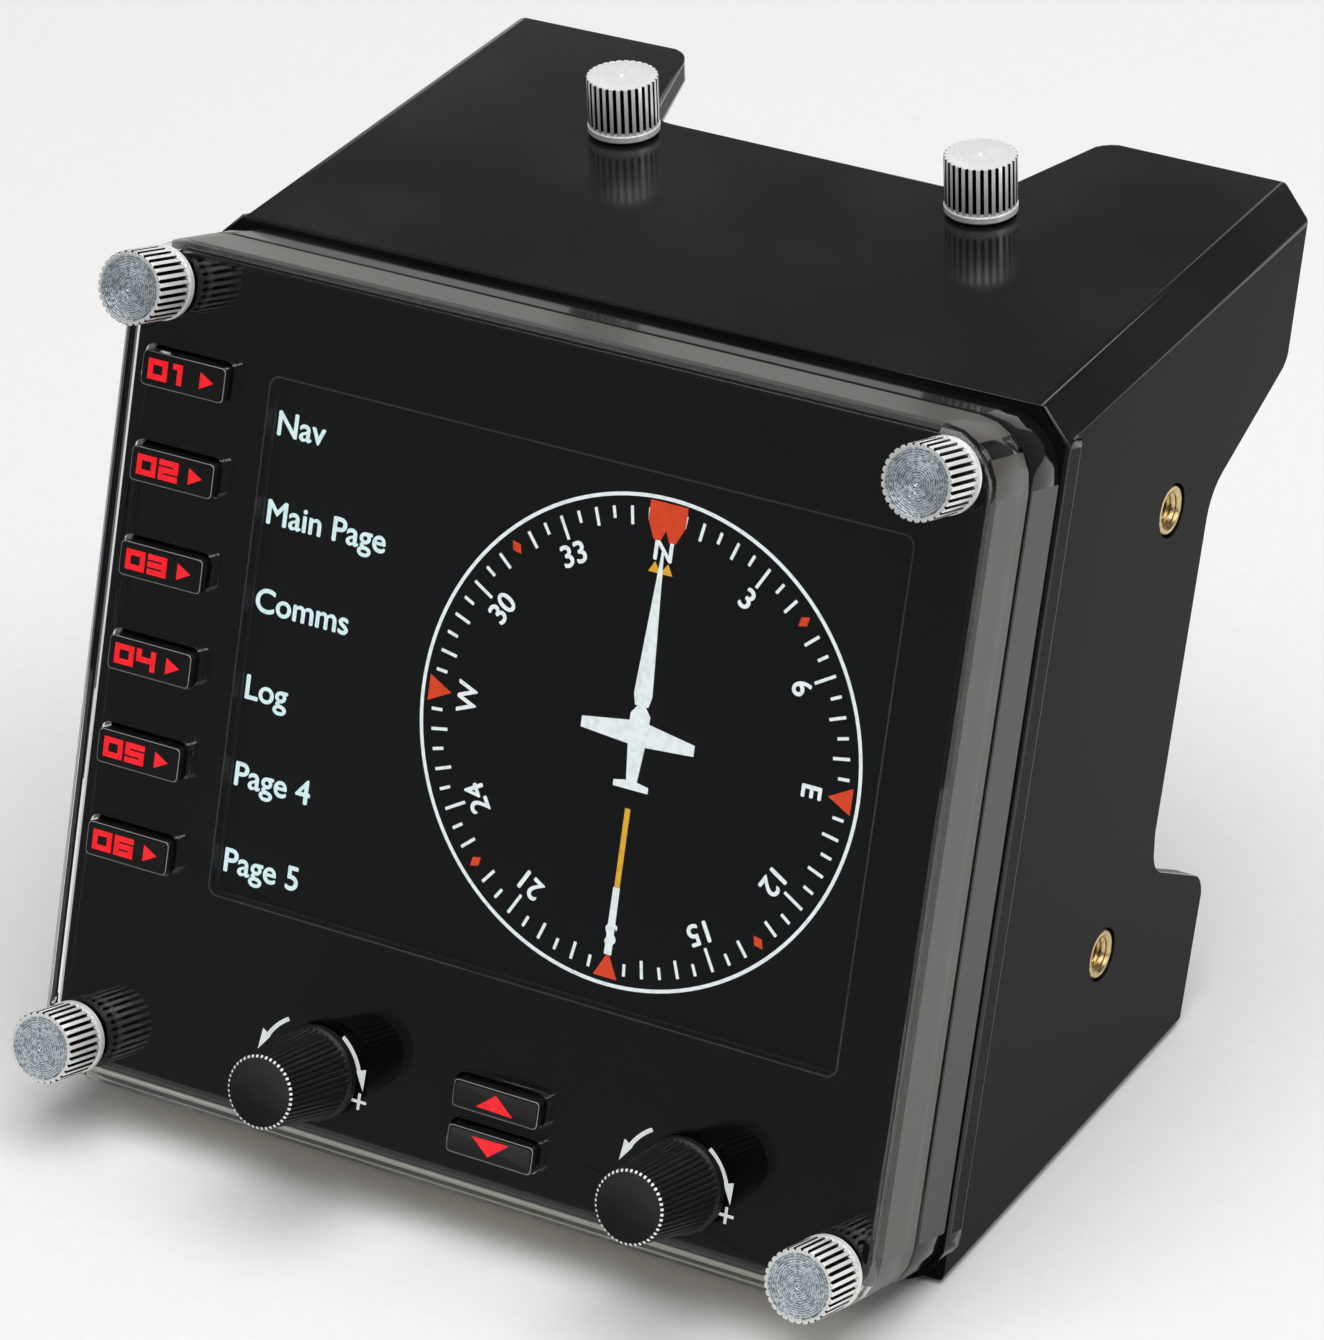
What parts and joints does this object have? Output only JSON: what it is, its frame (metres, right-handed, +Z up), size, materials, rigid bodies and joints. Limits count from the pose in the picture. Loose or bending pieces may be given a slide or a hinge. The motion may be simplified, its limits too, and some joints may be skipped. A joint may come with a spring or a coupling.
{
  "type": "flight instrument display module",
  "caption": "Square flight-simulator instrument display with soft keys, page keys and rotary knobs, leaning back on a stacking bracket held by knurled thumbscrews.",
  "frame": {"origin": "under the middle of the whole object, on the surface that the bracket stands on", "axes": "+X to the viewer's right across the display, +Y from the display back into the bracket, +Z up; the display face leans back 19 degrees"},
  "size_m": [0.0972, 0.1052, 0.0894],
  "materials": {
    "bracket_plastic": "satin moulded black with a fine grain",
    "clear_cover": "clear polished acrylic",
    "black_panel": "black printed panel behind the clear front, with white knob arrows",
    "gasket_rubber": "black foam rubber",
    "screen": "dark display glass with a lit compass dial and menu",
    "white_film": "white diffuser film",
    "steel": "plated steel",
    "flex_film": "amber polyimide film",
    "key_plastic": "gloss black caps with red backlit legends",
    "lamp": "red lamp lens",
    "silicone": "translucent grey silicone",
    "aluminium": "bright turned and knurled",
    "knob_plastic": "matte black, finely ribbed",
    "circuit_board": "green solder mask",
    "chip": "black epoxy",
    "housing_plastic": "gloss moulded black",
    "brass": "turned brass"
  },
  "bodies": {
    "module": {"mounting_bracket": "bracket_plastic", "front_cover": "clear_cover", "face_panel": "black_panel", "window_gasket": "gasket_rubber", "lcd_glass": "screen", "lcd_backlight": "white_film", "lcd_frame": "steel", "left_encoder": "steel", "right_encoder": "steel", "usb_socket": "steel", "housing_screw_1": "steel", "housing_screw_2": "steel", "housing_screw_3": "steel", "lcd_flex": "flex_film", "soft_key_lamp_1": "lamp", "soft_key_lamp_2": "lamp", "soft_key_lamp_3": "lamp", "soft_key_lamp_4": "lamp", "soft_key_lamp_5": "lamp", "soft_key_lamp_6": "lamp", "page_up_lamp": "lamp", "page_down_lamp": "lamp", "soft_key_pad": "silicone", "page_key_pad": "silicone", "main_circuit_board": "circuit_board", "processor_chip": "chip", "memory_chip": "chip", "rear_housing": "housing_plastic", "top_insert_left": "brass", "top_insert_right": "brass", "corner_insert_upper_left": "brass", "corner_insert_upper_right": "brass", "corner_insert_lower_left": "brass", "corner_insert_lower_right": "brass", "side_insert_upper_left": "brass", "side_insert_lower_left": "brass", "side_insert_upper_right": "brass", "side_insert_lower_right": "brass"},
    "soft_key_1": {"soft_key_1": "key_plastic"},
    "soft_key_2": {"soft_key_2": "key_plastic"},
    "soft_key_3": {"soft_key_3": "key_plastic"},
    "soft_key_4": {"soft_key_4": "key_plastic"},
    "soft_key_5": {"soft_key_5": "key_plastic"},
    "soft_key_6": {"soft_key_6": "key_plastic"},
    "page_up_key": {"page_up_key": "key_plastic"},
    "page_down_key": {"page_down_key": "key_plastic"},
    "left_knob": {"left_knob": "knob_plastic", "left_encoder_shaft": "aluminium"},
    "right_knob": {"right_knob": "knob_plastic", "right_encoder_shaft": "aluminium"},
    "corner_thumbscrew_upper_left": {"corner_thumbscrew_upper_left": "aluminium"},
    "corner_thumbscrew_upper_right": {"corner_thumbscrew_upper_right": "aluminium"},
    "corner_thumbscrew_lower_left": {"corner_thumbscrew_lower_left": "aluminium"},
    "corner_thumbscrew_lower_right": {"corner_thumbscrew_lower_right": "aluminium"},
    "top_thumbscrew_left": {"top_thumbscrew_left": "aluminium"},
    "top_thumbscrew_right": {"top_thumbscrew_right": "aluminium"}
  },
  "joints": [
    {"name": "soft_key_1_push", "type": "slide", "parent": "module", "child": "soft_key_1", "axis": [0, 0.9455, -0.3256], "range_m": [0, 0.0008], "stiffness_N_per_m": 500},
    {"name": "soft_key_2_push", "type": "slide", "parent": "module", "child": "soft_key_2", "axis": [0, 0.9455, -0.3256], "range_m": [0, 0.0008], "stiffness_N_per_m": 500},
    {"name": "soft_key_3_push", "type": "slide", "parent": "module", "child": "soft_key_3", "axis": [0, 0.9455, -0.3256], "range_m": [0, 0.0008], "stiffness_N_per_m": 500},
    {"name": "soft_key_4_push", "type": "slide", "parent": "module", "child": "soft_key_4", "axis": [0, 0.9455, -0.3256], "range_m": [0, 0.0008], "stiffness_N_per_m": 500},
    {"name": "soft_key_5_push", "type": "slide", "parent": "module", "child": "soft_key_5", "axis": [0, 0.9455, -0.3256], "range_m": [0, 0.0008], "stiffness_N_per_m": 500},
    {"name": "soft_key_6_push", "type": "slide", "parent": "module", "child": "soft_key_6", "axis": [0, 0.9455, -0.3256], "range_m": [0, 0.0008], "stiffness_N_per_m": 500},
    {"name": "page_up_key_push", "type": "slide", "parent": "module", "child": "page_up_key", "axis": [0, 0.9455, -0.3256], "range_m": [0, 0.0008], "stiffness_N_per_m": 500},
    {"name": "page_down_key_push", "type": "slide", "parent": "module", "child": "page_down_key", "axis": [0, 0.9455, -0.3256], "range_m": [0, 0.0008], "stiffness_N_per_m": 500},
    {"name": "left_knob_turn", "type": "hinge", "parent": "module", "child": "left_knob", "pos_m": [-0.01515, -0.04138, 0.01293], "axis": [0, 0.9455, -0.3256], "continuous": true},
    {"name": "right_knob_turn", "type": "hinge", "parent": "module", "child": "right_knob", "pos_m": [0.02685, -0.04138, 0.01293], "axis": [0, 0.9455, -0.3256], "continuous": true},
    {"name": "corner_thumbscrew_upper_left_turn", "type": "hinge", "parent": "module", "child": "corner_thumbscrew_upper_left", "pos_m": [-0.0437, -0.0172, 0.08313], "axis": [0, 0.9455, -0.3256], "continuous": true},
    {"name": "corner_thumbscrew_upper_right_turn", "type": "hinge", "parent": "module", "child": "corner_thumbscrew_upper_right", "pos_m": [0.0437, -0.0172, 0.08313], "axis": [0, 0.9455, -0.3256], "continuous": true},
    {"name": "corner_thumbscrew_lower_left_turn", "type": "hinge", "parent": "module", "child": "corner_thumbscrew_lower_left", "pos_m": [-0.0437, -0.04269, 0.0091], "axis": [0, 0.9455, -0.3256], "continuous": true},
    {"name": "corner_thumbscrew_lower_right_turn", "type": "hinge", "parent": "module", "child": "corner_thumbscrew_lower_right", "pos_m": [0.0437, -0.04269, 0.0091], "axis": [0, 0.9455, -0.3256], "continuous": true},
    {"name": "top_thumbscrew_left_turn", "type": "hinge", "parent": "module", "child": "top_thumbscrew_left", "pos_m": [-0.0207, 0.03275, 0.083], "axis": [0, 0, -1], "continuous": true},
    {"name": "top_thumbscrew_right_turn", "type": "hinge", "parent": "module", "child": "top_thumbscrew_right", "pos_m": [0.0207, 0.03275, 0.083], "axis": [0, 0, -1], "continuous": true}
  ]
}
